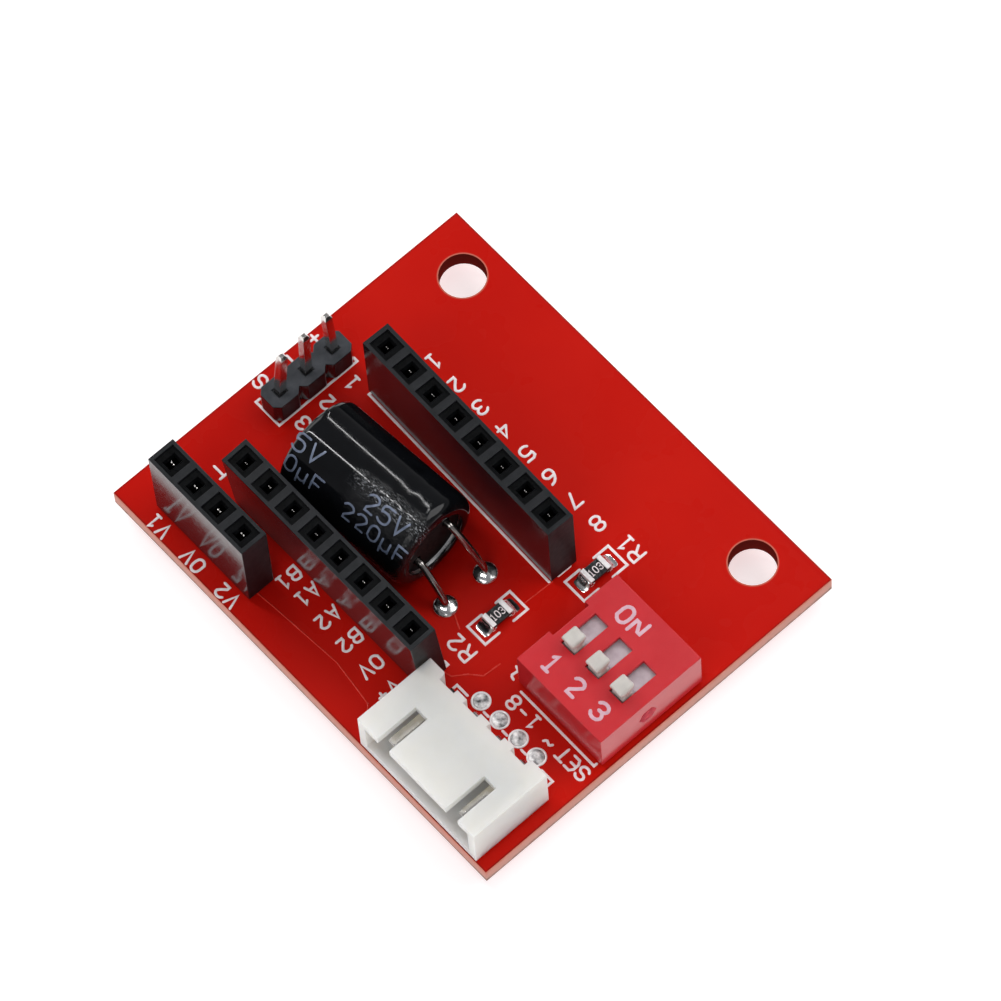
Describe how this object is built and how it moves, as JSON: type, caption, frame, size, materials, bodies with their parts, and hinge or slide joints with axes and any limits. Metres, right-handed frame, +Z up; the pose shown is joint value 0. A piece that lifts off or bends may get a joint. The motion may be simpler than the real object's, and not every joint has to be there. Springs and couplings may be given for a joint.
{
  "type": "stepper driver carrier board",
  "caption": "Red circuit board that carries a plug-in stepper driver, with pin sockets, a motor connector, a slide switch bank and a capacitor lying on its side.",
  "frame": {"origin": "centre of the board's outline, at the level of the lead tails' tips, which the board stands on", "axes": "+X along the board's long edge towards the switch end, +Y away from the motor connector's mouth, +Z up through the board towards its components"},
  "size_m": [0.0406, 0.0334, 0.0114],
  "materials": {
    "red_solder_mask": "glossy red mask over glass laminate",
    "black_plastic": "moulded, semi-gloss sides",
    "ivory_plastic": "moulded satin",
    "red_switch_plastic": "moulded satin",
    "lever_plastic": "moulded satin",
    "tinned_metal": "bright tin plate",
    "can_aluminium": "drawn",
    "black_sleeve": "glossy shrink film",
    "black_rubber": "moulded",
    "resistor_glaze": "glazed",
    "solder": "smooth bright solder",
    "print_ink": "screen-printed ink"
  },
  "bodies": {
    "board": {"circuit_board": "red_solder_mask", "driver_socket_right": "black_plastic", "driver_socket_left": "black_plastic", "supply_socket": "black_plastic", "control_header_base": "black_plastic", "dip_switch_base": "black_plastic", "driver_socket_right_contact_1": "tinned_metal", "driver_socket_right_contact_2": "tinned_metal", "driver_socket_right_contact_3": "tinned_metal", "driver_socket_right_contact_4": "tinned_metal", "driver_socket_right_contact_5": "tinned_metal", "driver_socket_right_contact_6": "tinned_metal", "driver_socket_right_contact_7": "tinned_metal", "driver_socket_right_contact_8": "tinned_metal", "driver_socket_left_contact_1": "tinned_metal", "driver_socket_left_contact_2": "tinned_metal", "driver_socket_left_contact_3": "tinned_metal", "driver_socket_left_contact_4": "tinned_metal", "driver_socket_left_contact_5": "tinned_metal", "driver_socket_left_contact_6": "tinned_metal", "driver_socket_left_contact_7": "tinned_metal", "driver_socket_left_contact_8": "tinned_metal", "supply_socket_contact_1": "tinned_metal", "supply_socket_contact_2": "tinned_metal", "supply_socket_contact_3": "tinned_metal", "supply_socket_contact_4": "tinned_metal", "control_header_pin_1": "tinned_metal", "control_header_pin_2": "tinned_metal", "control_header_pin_3": "tinned_metal", "motor_connector_pin_1": "tinned_metal", "motor_connector_pin_2": "tinned_metal", "motor_connector_pin_3": "tinned_metal", "motor_connector_pin_4": "tinned_metal", "dip_switch_terminal_1a": "tinned_metal", "dip_switch_terminal_1b": "tinned_metal", "dip_switch_terminal_2a": "tinned_metal", "dip_switch_terminal_2b": "tinned_metal", "dip_switch_terminal_3a": "tinned_metal", "dip_switch_terminal_3b": "tinned_metal", "resistor_1_end_a": "tinned_metal", "resistor_1_end_b": "tinned_metal", "resistor_2_end_a": "tinned_metal", "resistor_2_end_b": "tinned_metal", "capacitor_lead_1": "tinned_metal", "capacitor_lead_2": "tinned_metal", "motor_connector_shell": "ivory_plastic", "dip_switch_cover": "red_switch_plastic", "capacitor_sleeve": "black_sleeve", "capacitor_can": "can_aluminium", "capacitor_bung": "black_rubber", "resistor_1_body": "resistor_glaze", "resistor_2_body": "resistor_glaze"},
    "lever_1": {"dip_switch_lever_1": "lever_plastic", "dip_switch_bridge_1": "tinned_metal"},
    "lever_2": {"dip_switch_lever_2": "lever_plastic", "dip_switch_bridge_2": "tinned_metal"},
    "lever_3": {"dip_switch_lever_3": "lever_plastic", "dip_switch_bridge_3": "tinned_metal"}
  },
  "joints": [
    {"name": "dip_lever_1_slide", "type": "slide", "parent": "board", "child": "lever_1", "axis": [0, 1, 0], "range_m": [0, 0.00185]},
    {"name": "dip_lever_2_slide", "type": "slide", "parent": "board", "child": "lever_2", "axis": [0, 1, 0], "range_m": [0, 0.00185]},
    {"name": "dip_lever_3_slide", "type": "slide", "parent": "board", "child": "lever_3", "axis": [0, 1, 0], "range_m": [0, 0.00185]}
  ]
}
